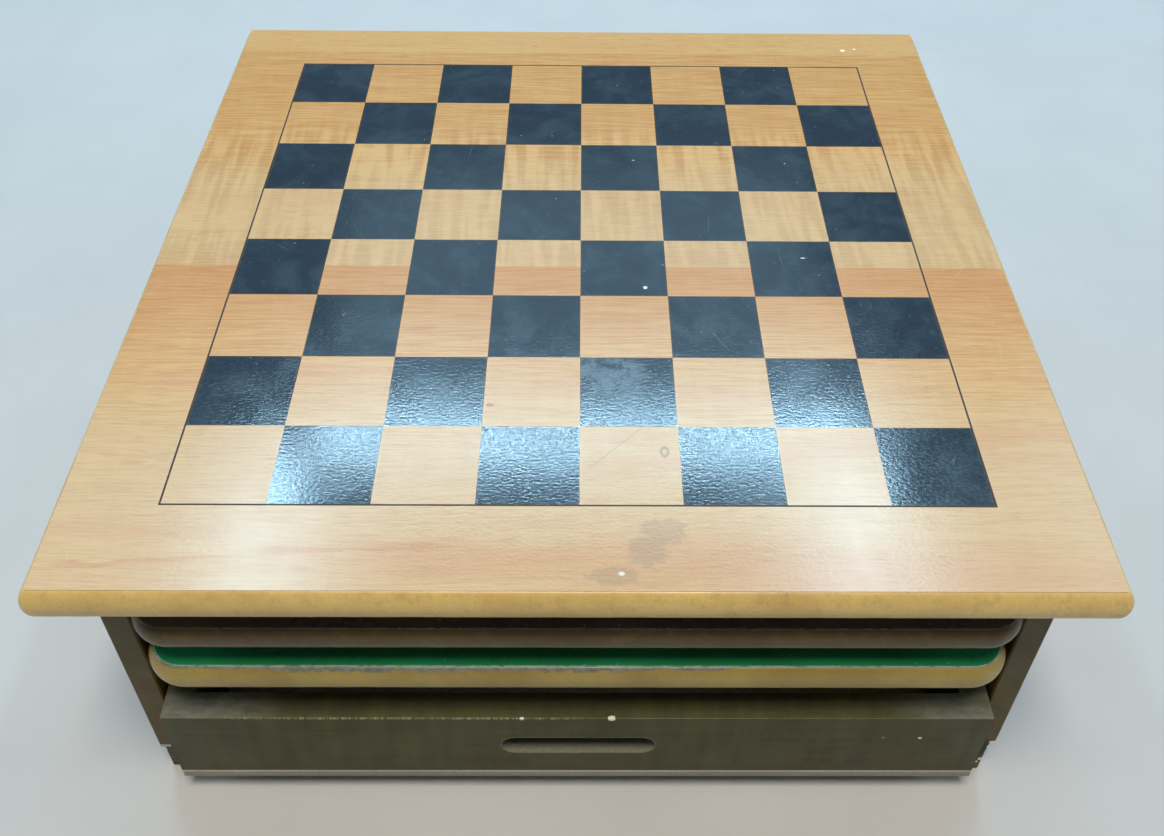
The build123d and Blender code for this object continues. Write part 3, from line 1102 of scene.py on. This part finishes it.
@dataclass(frozen=True)
class GameFace:
    """A glossy printed face of a slide-out board, with a traditional game on it."""

    name: str
    node: str
    face: Colour
    deep: Colour
    line: Colour
    game: Union[Mill, Points]
    rim: float = 1.0
    corner: float = BOARD_CORNER
    worn: Colour = (0.40, 0.46, 0.42)

    def build(self) -> Material:
        """Builds the material.

        Returns:
            The finished material.
        """
        s = Shader(self.name)
        (left, front, _), (right, back, _) = box_mm(self.node)
        board_y = s.y - (front + back) / 2
        inward = self.from_edge(s, board_y, (right - left) / 2, (back - front) / 2)
        plane = s.point(s.x, s.y)
        cloud = s.clouds(plane, 0.03, 4.0, 0.6)
        dots = s.clouds(plane, 1.3, 2.0, 0.7)
        colour = s.shade(s.mix(cloud.ramp(0.3, 0.7), self.face, self.deep), dots.ramp(0.3, 0.7, 0.94, 1.06))
        colour = self.game.paint(s, colour, board_y, self.line)
        broken = s.clouds(plane, 0.30, 4.0, 0.75).ramp(0.42, 0.54)
        rim = inward.ramp(0.62, 0.30) * ((0.30 + broken * 0.65) * self.rim)
        scuffs = s.most(s.strokes(plane, 0.04, 10.0, 0.18, 0.4), s.specks(plane, 0.08, 0.03, 0.3))
        colour = s.mix(scuffs * 0.22, s.mix(rim, colour, self.worn), self.worn)
        rough = cloud.ramp(0.3, 0.7, 0.20, 0.30) + (rim * 0.35 + scuffs * 0.2)
        return s.finish(colour, rough, Normal=s.relief(dots, 0.012))

    def from_edge(self, s: Shader, board_y: Value, half_x: float, half_y: float) -> Value:
        """Distance inwards from the rounded outline of the face.

        Args:
            s: The material being built.
            board_y: Distance behind the middle of the board.
            half_x: Half the width of the face.
            half_y: Half its depth.

        Returns:
            The distance in millimetres.
        """
        out_x = s.most(abs(s.x) - (half_x - self.corner), 0.0)
        out_y = s.most(abs(board_y) - (half_y - self.corner), 0.0)
        straight = s.least(half_x - abs(s.x), half_y - abs(board_y))
        return s.least(self.corner - s.hypot(out_x, out_y), straight)


# ---------------------------------------------------------------------------
# Sub-assemblies
# ---------------------------------------------------------------------------


class Workshop:
    """What the sub-assemblies share: finishes, trees and the way a piece is put in."""

    def __init__(self) -> None:
        """Builds every finish and tree once."""
        (_, front_y, foot_z), (_, _, arris_z) = box_mm("drawer_front")
        dust_and_light_ends = (112.0, 150.0)
        front_wear = WearAndShade(
            front_y=front_y,
            arris_z=arris_z,
            foot_z=foot_z,
            slot=(0.0, (foot_z + arris_z) / 2, 31.0, 6.0),
            chips=((13.1, arris_z, 1.5), (136.9, 44.3, 0.8), (-22.1, arris_z, 0.9)),
            dust_and_light_ends=dust_and_light_ends,
        )
        panel_y = box_mm("side_panel_left")[0][1]
        left_wear = WearAndShade(panel_y, tear=(19.4, 1.3))
        # The right panel's broken corner is cut into its shape and also painted near black as shadow
        right_wear = WearAndShade(
            panel_y, chips=((171.6, 8.6, 1.1), (170.2, 6.2, 0.8)), notch=(167.5, 18.5, 5.2, 9.0)
        )
        # Darker olive colours for the drawer's foil: the cool tint and depth of shade painted into the foil
        shaded_olive = {"pale": (0.063, 0.062, 0.011), "deep": (0.042, 0.039, 0.008)}
        self.playing_top = PlayingTop().build()
        self.edges = {
            "top": EdgePaint("top_edge_paint").build(),
            # The upper board's edge is a dark copy of the tan edge paint: painted shade under the top's overhang
            "upper": EdgePaint("upper_edge_paint_shaded", (0.100, 0.063, 0.014), (0.078, 0.046, 0.010)).build(),
            # The lower board's edge is a darker copy of the tan edge paint: painted shade under the top's overhang
            "lower": EdgePaint(
                "lower_edge_paint_shaded", (0.39, 0.298, 0.080), (0.32, 0.232, 0.063), face_z=box_mm("lower_board")[1][2]
            ).build(),
        }
        self.foils = {
            "left": GrainFoil("left_panel_foil", Wrap.LONG_WALL, wear=left_wear).build(),
            "right": GrainFoil("right_panel_foil", Wrap.LONG_WALL, wear=right_wear).build(),
            "back": GrainFoil("back_foil", Wrap.CROSS_WALL).build(),
            "drawer_front": GrainFoil("drawer_front_foil", Wrap.CROSS_WALL, 0.17, front_wear, **shaded_olive).build(),
            "drawer_side": GrainFoil(
                "drawer_side_foil", Wrap.LONG_WALL, 0.12, WearAndShade(front_y, dust_and_light_ends=dust_and_light_ends), **shaded_olive
            ).build(),
        }
        self.bare_board = BareBoard().build()
        # The drawer bottom gets a painted highlight along its top arris and painted shade below it
        self.drawer_sheet = BareBoard("drawer_sheet", arris_z=box_mm("drawer_bottom")[1][2]).build()
        self.runner_wood = PlanedWood("runner_wood").build()
        self.dowel_wood = PlanedWood("dowel_wood", pale=(0.62, 0.45, 0.26)).build()
        self.nail_steel = NailSteel().build()
        dark, dark_deep, straw = (0.075, 0.058, 0.062), (0.050, 0.038, 0.042), (0.46, 0.38, 0.27)
        green, green_deep, ivory = (0.014, 0.26, 0.094), (0.010, 0.195, 0.069), (0.62, 0.60, 0.50)
        self.faces = {
            "upper": GameFace("upper_face", "upper_board_print", dark, dark_deep, straw, Points(), 0.15).build(),
            "lower": GameFace("lower_face", "lower_board_print", green, green_deep, ivory, Mill()).build(),
        }
        self.boards = BoardTree()
        self.nails = NailRowTree()

    def dress(self, material: Material, *nodes: str) -> None:
        """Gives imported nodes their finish.

        Args:
            material: The finish.
            nodes: Names of the nodes.
        """
        for node in nodes:
            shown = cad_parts[node]
            shown.data.materials.clear()
            shown.data.materials.append(material)
            log.info("dressed %s with %s", node, material.name)

    def install(self, name: str, mesh: bpy.types.Mesh, body: str, slot: str, *nodes: str) -> None:
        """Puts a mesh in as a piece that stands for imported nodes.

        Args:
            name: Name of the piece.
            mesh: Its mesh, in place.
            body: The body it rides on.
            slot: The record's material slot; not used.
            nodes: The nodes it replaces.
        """
        mesh.name = name
        piece = bpy.data.objects.new(name, mesh)
        bpy.context.scene.collection.objects.link(piece)
        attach(piece, body)
        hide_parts(*nodes)
        log.info("made %s: %d faces on %s", name, len(mesh.polygons), body)

    def drive(self, name: str, node: str, body: str, rows: Sequence["NailRow"]) -> None:
        """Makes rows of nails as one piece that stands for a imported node.

        Args:
            name: Name of the piece.
            node: The node it replaces.
            body: The body it rides on.
            rows: The rows.
        """
        work = bmesh.new()
        for seed, row in enumerate(rows):
            work.from_mesh(row.mesh(self, seed))
        whole = bpy.data.meshes.new(name)
        work.to_mesh(whole)
        work.free()
        whole.materials.append(self.nail_steel)
        self.install(name, whole, body, "nail_steel", node)


@dataclass
class RoundedBoard:
    """A board with a swept, slightly uneven painted edge."""

    name: str
    node: str
    body: str
    corner: float
    bulge: float
    material: Material
    corner_steps: int = 14
    edge_steps: int = 15
    long_edge: float = 50 * MM
    cuts: int = 60
    flat_rim: float = 0.3 * MM
    flat_normal: float = 0.99
    dent: float = 0.25 * MM
    waves: Tuple[Pair, ...] = ((60.0, 0.6), (230.0, 0.4))

    def build(self, shop: Workshop) -> None:
        """Makes the board from its packed box.

        Args:
            shop: Shared finishes and trees.
        """
        low, high = box_of(self.node)
        centre = (low + high) / 2
        mesh = shop.boards.make({
            "Width": high.x - low.x,
            "Depth": high.y - low.y,
            "Thickness": high.z - low.z,
            "Corner": self.corner,
            "Bulge": self.bulge,
            "Corner Steps": self.corner_steps,
            "Edge Steps": self.edge_steps,
            "Place": (centre.x, centre.y, high.z),
            "Material": self.material,
        })
        self.wear(mesh, low, high)
        shop.install(self.name, mesh, self.body, "painted_edge", self.node)

    def wear(self, mesh: bpy.types.Mesh, low: Vector, high: Vector) -> None:
        """Cuts the long edge faces short and dents them a little, always inwards.

        Args:
            mesh: The board.
            low: Lowest corner of its box.
            high: Highest corner.
        """
        work = bmesh.new()
        work.from_mesh(mesh)
        long_edges = [e for e in work.edges if e.calc_length() > self.long_edge and not self.within_face(e)]
        bmesh.ops.subdivide_edges(work, edges=long_edges, cuts=self.cuts)
        centre = (low + high) / 2
        for vertex in work.verts:
            if min(vertex.co.z - low.z, high.z - vertex.co.z) < self.flat_rim:
                continue
            reach = sum(noise.noise(vertex.co * scale) * share for scale, share in self.waves)
            inward = Vector((centre.x - vertex.co.x, centre.y - vertex.co.y, 0.0)).normalized()
            vertex.co += inward * self.dent * max(0.0, reach)
        work.to_mesh(mesh)
        work.free()

    def within_face(self, edge: bmesh.types.BMEdge) -> bool:
        """Whether an edge only divides one of the two flat faces."""
        return all(abs(face.normal.z) > self.flat_normal for face in edge.link_faces)


@dataclass
class Top:
    """The thick top with its painted edge and its printed board."""

    corner: float = 4.3 * MM
    bulge: float = 3.5 * MM

    def build(self, shop: Workshop) -> None:
        """Makes the top board and dresses its print."""
        RoundedBoard("top_board_edge", "top_board", "cabinet", self.corner, self.bulge, shop.edges["top"]).build(shop)
        shop.dress(shop.playing_top, "top_print")


@dataclass
class GameBoards:
    """The two slide-out boards."""

    face_corner: float = BOARD_CORNER * MM
    lower_bulge: float = 3.0 * MM
    upper_bulge: float = 2.5 * MM

    def build(self, shop: Workshop) -> None:
        """Makes both boards and dresses their faces.

        Args:
            shop: Shared finishes and trees.
        """
        for level, bulge in (("lower", self.lower_bulge), ("upper", self.upper_bulge)):
            body, corner = level + "_game_board", self.face_corner + bulge
            RoundedBoard(body, level + "_board", body, corner, bulge, shop.edges[level]).build(shop)
            shop.dress(shop.faces[level], level + "_board_print")


@dataclass
class NailRow:
    """A straight row of nails between two places, each turned so that its head lies outside."""

    first: Point
    last: Point
    count: int
    turn: Point
    length: float
    head: float = 1.6 * MM
    head_height: float = 0.8 * MM
    shank: float = 0.9 * MM
    sink: float = 0.15 * MM

    def mesh(self, shop: Workshop, seed: int) -> bpy.types.Mesh:
        """Makes the row.

        Args:
            shop: Shared finishes and trees.
            seed: Seed of the small differences in depth.

        Returns:
            Its mesh.
        """
        step = (Vector(self.last) - Vector(self.first)) / max(self.count - 1, 1)
        return shop.nails.make({
            "Start": tuple(self.first), "Step": tuple(step), "Turn": self.turn, "Count": self.count,
            "Length": self.length, "Shank Radius": self.shank, "Head Radius": self.head,
            "Head Height": self.head_height, "Sink": self.sink, "Seed": seed, "Material": shop.nail_steel,
        })


def sideways(side: int) -> Point:
    """The turn of a nail whose head looks along X, to the right for 1 and to the left for -1."""
    return 0.0, side * math.pi / 2, 0.0


@dataclass
class SidePanel:
    """A side panel, lofted in level rings so that its worn lower front corner has real shape."""

    side: str
    arris: float = 0.6 * MM
    worn_top: float = 18.2 * MM
    worn_depth: float = 1.3 * MM
    worn_side: float = 1.0 * MM
    notch_low: float = 9.5 * MM
    notch_high: float = 27.5 * MM
    notch_depth: float = 4.0 * MM
    notch_curve: float = 0.6
    notch_width: float = 0.58
    notch_end_depth: float = 0.12
    broken_top: float = 24.0 * MM
    broken_side: float = 2.4 * MM
    ragged: float = 0.3 * MM
    ragged_pitch: float = 700.0
    cheek: float = 12.0 * MM
    fine_step: float = 0.5 * MM
    fine_top: float = 32 * MM

    def build(self, shop: Workshop) -> None:
        """Makes the panel.

        Args:
            shop: Shared finishes and trees.
        """
        node = "side_panel_" + self.side
        low, high = box_of(node)
        work = bmesh.new()
        rings = [self.ring(work, low, high, z) for z in self.levels(low.z, high.z)]
        for lower, upper in zip(rings, rings[1:]):
            for here in range(len(lower)):
                after = (here + 1) % len(lower)
                work.faces.new((lower[here], lower[after], upper[after], upper[here]))
        work.faces.new(list(reversed(rings[0])))
        work.faces.new(rings[-1])
        mesh = bpy.data.meshes.new(node)
        work.to_mesh(mesh)
        work.free()
        mesh.materials.append(shop.foils[self.side])
        shop.install(self.side + "_panel", mesh, "cabinet", "panel_foil", node)

    def levels(self, bottom: float, top: float) -> List[float]:
        """Heights of the rings: close together where the panel is worn."""
        fine = [bottom + self.arris + step * self.fine_step for step in range(1, int(self.fine_top / self.fine_step))]
        return [bottom, bottom + self.arris, *fine, top - self.arris, top]

    def ring(self, work: bmesh.types.BMesh, low: Vector, high: Vector, z: float) -> List[bmesh.types.BMVert]:
        """Adds one level ring.

        Args:
            work: The mesh being made.
            low: Lowest corner of the panel's box.
            high: Highest corner.
            z: Height of the ring.

        Returns:
            Its vertices, counter-clockwise from above.
        """
        end = max(low.z + self.arris - z, z - high.z + self.arris, 0.0)
        edge = self.arris
        set_in, notch, cut = self.wear_at(z)
        left, right, front, back = low.x + end, high.x - end, low.y + end + set_in, high.y - end
        left_cut, right_cut = (cut, 0.0) if self.side == "left" else (0.0, cut)
        notch_end = left + self.notch_width * (right - left)
        outline = (
            (left + edge + left_cut, front + notch),
            (notch_end, front + self.notch_end_depth * notch),
            (right - edge - right_cut, front),
            (right - right_cut, front + edge),
            (right, front + self.cheek),
            (right, back - edge),
            (right - edge, back),
            (left + edge, back),
            (left, back - edge),
            (left, front + self.cheek),
            (left + left_cut, front + edge + notch),
        )
        return [work.verts.new((x, y, z)) for x, y in outline]

    def wear_at(self, z: float) -> Point:
        """Gives the wear of the front at a height.

        Args:
            z: Height of the ring.

        Returns:
            How far the front is set in, how deep its inner corner is notched, how much of its outer corner is gone.
        """
        ragged = self.ragged * noise.noise((0.0, 0.0, z * self.ragged_pitch))
        if self.side == "left":
            return (self.worn_depth + ragged, 0.0, self.worn_side + ragged) if z < self.worn_top else (0.0, 0.0, 0.0)
        broken = self.broken_side + 2 * ragged if z < self.broken_top else 0.0
        share = (z - self.notch_low) / (self.notch_high - self.notch_low)
        if not 0.0 < share < 1.0:
            return 0.0, 0.0, broken
        return 0.0, self.notch_depth * math.sin(math.pi * share) ** self.notch_curve, broken


@dataclass
class Cabinet:
    """Side panels, back, base and runners, with the nails that hold them."""

    inset: float = 40 * MM
    proud: float = 0.17 * MM
    per_row: int = 3
    nail: float = 28 * MM
    brad: float = 15 * MM

    def build(self, shop: Workshop) -> None:
        """Makes the panels and the nails, and dresses the rest.

        Args:
            shop: Shared finishes and trees.
        """
        SidePanel("left").build(shop)
        SidePanel("right").build(shop)
        shop.dress(shop.foils["back"], "back_panel")
        shop.dress(shop.bare_board, "base_board")
        runners = ["runner_" + level + "_" + side for level in ("lower", "upper") for side in ("left", "right")]
        shop.dress(shop.runner_wood, *runners)
        shop.dress(shop.dowel_wood, "top_dowels")
        shop.drive("panel_nails", "carcass_nails", "cabinet", self.panel_rows())
        shop.drive("runner_brad_rows", "runner_brads", "cabinet", self.brad_rows())

    def panel_rows(self) -> List[NailRow]:
        """Rows through each side panel into the base and into the back.

        Returns:
            The rows.
        """
        panel_low, panel_high = box_of("side_panel_right")
        base_high = box_of("base_board")[1]
        back_low, back_high = box_of("back_panel")
        rows = []
        for side in (-1, 1):
            x, z = side * (panel_high.x + self.proud), base_high.z / 2
            front, rear = panel_low.y + self.inset, base_high.y - self.inset
            rows.append(NailRow((x, front, z), (x, rear, z), self.per_row, sideways(side), self.nail))
            y, top = (back_low.y + back_high.y) / 2, panel_high.z - self.inset
            rows.append(NailRow((x, y, self.inset), (x, y, top), self.per_row, sideways(side), self.nail))
        return rows

    def brad_rows(self) -> List[NailRow]:
        """Rows through the four runners into the panels.

        Returns:
            The rows.
        """
        rows = []
        for level in ("lower", "upper"):
            for side, name in ((-1, "left"), (1, "right")):
                low, high = box_of("runner_" + level + "_" + name)
                x, z = (high.x if side < 0 else low.x), (low.z + high.z) / 2
                front, rear = low.y + self.inset, high.y - self.inset
                rows.append(NailRow((x, front, z), (x, rear, z), self.per_row, sideways(-side), self.brad))
        return rows


@dataclass
class Drawer:
    """The drawer's walls, bottom and dividers, with the nails that hold them."""

    inset: float = 40 * MM
    per_row: int = 3
    back_nail: float = 28 * MM
    bottom_nail: float = 18 * MM

    def build(self, shop: Workshop) -> None:
        """Makes the nails and dresses the rest.

        Args:
            shop: Shared finishes and trees.
        """
        shop.dress(shop.foils["drawer_front"], "drawer_front")
        shop.dress(shop.foils["drawer_side"], "drawer_side_left", "drawer_side_right")
        shop.dress(shop.foils["back"], "drawer_back")
        shop.dress(shop.drawer_sheet, "drawer_bottom")
        shop.dress(shop.bare_board, "drawer_divider_long", "drawer_divider_cross")
        side_low, side_high = box_of("drawer_side_right")
        wall = side_high.x - side_low.x
        shop.drive("drawer_back_nail_rows", "drawer_back_nails", "drawer", self.back_rows(side_low, side_high, wall))
        shop.drive("drawer_bottom_nail_rows", "drawer_bottom_nails", "drawer", self.bottom_rows(side_high.x, wall))

    def back_rows(self, low: Vector, high: Vector, wall: float) -> List[NailRow]:
        """Two nails through each side into the back.

        Args:
            low: Lowest corner of the right side.
            high: Its highest corner.
            wall: Thickness of a wall.

        Returns:
            The rows.
        """
        rows = []
        quarter = (high.z - low.z) / 4
        for side in (-1, 1):
            x, y = side * high.x, high.y - wall / 2
            ends = (x, y, low.z + quarter), (x, y, high.z - quarter)
            rows.append(NailRow(*ends, 2, sideways(side), self.back_nail))
        return rows

    def bottom_rows(self, outer_x: float, wall: float) -> List[NailRow]:
        """Rows up through the bottom into the four walls.

        Args:
            outer_x: Outer face of the right side.
            wall: Thickness of a wall.

        Returns:
            The rows.
        """
        low, high = box_of("drawer_bottom")
        z, reach = low.z, outer_x - wall / 2
        ends = [((x, low.y + self.inset, z), (x, high.y - self.inset, z)) for x in (-reach, reach)]
        for y in (low.y + wall / 2, high.y - wall / 2):
            ends.append(((low.x + self.inset, y, z), (high.x - self.inset, y, z)))
        return [NailRow(first, last, self.per_row, (math.pi, 0.0, 0.0), self.bottom_nail) for first, last in ends]


# ---------------------------------------------------------------------------
# Floor, light and camera
# ---------------------------------------------------------------------------


@dataclass(frozen=True)
class Lamp:
    """A soft rectangular lamp: places and size in metres, power in watts."""

    name: str
    place: Point
    aim: Point
    size: Pair
    power: float
    colour: Colour

    def hang(self) -> None:
        """Puts the lamp in the scene."""
        data = bpy.data.lights.new(self.name, "AREA")
        data.shape = "RECTANGLE"
        data.size, data.size_y = self.size
        data.energy = self.power
        data.color = self.colour
        lamp = bpy.data.objects.new(self.name, data)
        turn = (Vector(self.aim) - Vector(self.place)).to_track_quat("-Z", "Y")
        lamp.matrix_world = Matrix.Translation(self.place) @ turn.to_matrix().to_4x4()
        bpy.context.scene.collection.objects.link(lamp)


@dataclass
class Studio:
    """A plain pale floor, soft lamps, and the camera at the photograph's viewpoint.

    Each high lamp has a name, a place along X and Y, a width, a depth and a radiance.
    """

    camera_place: Point = (0.00002, -0.42051, 0.49514)
    camera_turn: Point = (47.865, -0.611, -0.273)
    focal_length: float = 37.09
    shift: Pair = (-0.0097, -0.100)
    floor_size: float = 12.0
    floor_pale: Colour = (0.56, 0.57, 0.58)
    floor_deep: Colour = (0.53, 0.54, 0.55)
    lamp_height: float = 1.85
    high_lamps: Tuple[Tuple[str, float, float, float, float, float], ...] = (
        ("strip_behind", 0.000, 1.372, 1.20, 0.06, 250.0),
        ("strip_left", -0.660, 1.02, 0.10, 0.61, 142.0),
        ("strip_right", 0.590, 1.05, 0.11, 0.66, 130.0),
        ("haze", 0.000, 1.95, 1.24, 0.90, 3.5),
        ("glow_left", -1.130, 1.10, 0.24, 0.75, 13.0),
        ("glow_right", 1.130, 1.12, 0.24, 0.80, 22.0),
    )
    overhead_power: float = 38.0
    side_power: float = 3.5
    daylight: Colour = (0.48, 0.79, 1.0)
    warm: Colour = (1.0, 0.90, 0.76)
    cool: Colour = (0.90, 0.97, 1.0)
    sky: Colour = (0.78, 0.86, 1.0)
    sky_strength: float = 0.10

    def build(self) -> None:
        """Sets up the floor, the lamps and the camera."""
        self.floor()
        self.lamps()
        self.sky_light()
        self.camera()

    def floor(self) -> None:
        """Lays the floor with a faint paper grain."""
        s = Shader("floor_paper")
        mottle = s.clouds(s.place, 0.01, 4.0, 0.6)
        half = self.floor_size / 2
        mesh = bpy.data.meshes.new("floor")
        corners = [(-half, -half, 0.0), (half, -half, 0.0), (half, half, 0.0), (-half, half, 0.0)]
        mesh.from_pydata(corners, [], [(0, 1, 2, 3)])
        mesh.materials.append(s.finish(s.mix(mottle.ramp(0.3, 0.7), self.floor_pale, self.floor_deep), 0.75))
        floor = bpy.data.objects.new("floor", mesh)
        bpy.context.scene.collection.objects.link(floor)

    def lamps(self) -> None:
        """Hangs the lamps behind the box, one above its front and a weak one on each side."""
        for name, x, y, width, depth, radiance in self.high_lamps:
            power = radiance * width * depth
            Lamp(name, (x, y, self.lamp_height), (x, y, 0.0), (width, depth), power, self.daylight).hang()
        Lamp("overhead", (0.0, -0.74, 2.3), (0.0, -0.30, 0.0), (0.6, 0.6), self.overhead_power, self.warm).hang()
        for name, side in (("side_left", -1.0), ("side_right", 1.0)):
            place, aim = (1.5 * side, -0.30, 0.85), (0.17 * side, -0.18, 0.08)
            Lamp(name, place, aim, (0.5, 0.5), self.side_power, self.cool).hang()

    def sky_light(self) -> None:
        """Sets the weak light from all round, and the plain view of the colours."""
        world = bpy.data.worlds.new("studio_world")
        world.use_nodes = True
        background = world.node_tree.nodes["Background"]
        background.inputs["Color"].default_value = (*self.sky, 1.0)
        background.inputs["Strength"].default_value = self.sky_strength
        bpy.context.scene.world = world
        bpy.context.scene.view_settings.view_transform = "Standard"

    def camera(self) -> None:
        """Sets the camera."""
        data = bpy.data.cameras.new("camera")
        data.sensor_width = 36.0
        data.lens = self.focal_length
        data.shift_x, data.shift_y = self.shift
        data.clip_start = 0.02
        camera = bpy.data.objects.new("camera", data)
        camera.location = self.camera_place
        camera.rotation_euler = [math.radians(angle) for angle in self.camera_turn]
        bpy.context.scene.collection.objects.link(camera)
        bpy.context.scene.camera = camera


def main() -> None:
    """Builds the box, its finishes and the studio."""
    logging.basicConfig(level=logging.INFO, format="%(name)s: %(message)s")
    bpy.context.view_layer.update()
    shop = Workshop()
    for assembly in (Top(), GameBoards(), Cabinet(), Drawer()):
        log.info("building %s", type(assembly).__name__)
        assembly.build(shop)
    Studio().build()


if __name__ == "__main__":
    main()
